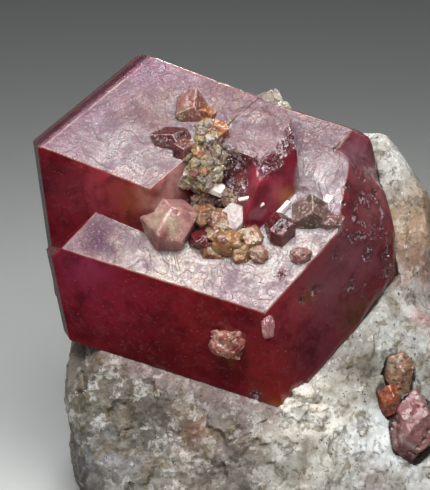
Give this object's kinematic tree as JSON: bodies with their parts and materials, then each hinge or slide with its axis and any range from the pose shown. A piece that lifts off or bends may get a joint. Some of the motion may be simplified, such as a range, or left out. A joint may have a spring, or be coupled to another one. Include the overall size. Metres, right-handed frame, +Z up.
{
  "type": "grossular garnet on matrix",
  "caption": "Hand specimen of raspberry-red garnet: stepped, intergrown dodecahedral crystals with small crystals on their faces, on a flat-based block of pale marble.",
  "frame": {"origin": "middle of the specimen's outline, on its flat base", "axes": "+Z up from the flat base; -Y towards the side where the terrace and the lower front face show; +X to that viewer's right"},
  "size_m": [0.0322, 0.025, 0.0312],
  "materials": {
    "raspberry_garnet": "polished natural growth faces, translucent raspberry red, finely etched",
    "wine_garnet": "glossy dark wine-red garnet, nearly opaque",
    "brown_garnet": "dull brown-grey grossular, finely pitted",
    "orange_garnet": "orange-brown iron-stained grossular, satin",
    "pink_garnet": "pink-beige grossular, waxy",
    "druse": "grey-olive crust of fine sparkling grains",
    "calcite": "white cleavage chips, glassy",
    "marble": "coarse grey-white marble with dark specks and rust stains, matt with sparkling grains"
  },
  "bodies": {
    "root": {"garnet_cluster": "raspberry_garnet", "matrix": "marble", "pink_crystal": "pink_garnet", "wine_crystal": "wine_garnet", "grey_crystal": "brown_garnet", "dark_crystal": "wine_garnet", "small_dark_crystal": "wine_garnet", "brown_crystal": "brown_garnet", "orange_crystal_back": "orange_garnet", "orange_crystal_side": "orange_garnet", "calcite_chip": "calcite", "druse": "druse", "ochre_lump": "orange_garnet", "bud_left": "brown_garnet", "bud_right": "brown_garnet", "pale_splinter": "calcite", "pale_slab": "calcite", "pink_lump": "pink_garnet", "pale_nub": "pink_garnet", "rust_grain": "orange_garnet", "brown_grain": "brown_garnet", "red_grain": "raspberry_garnet"}
  },
  "joints": []
}
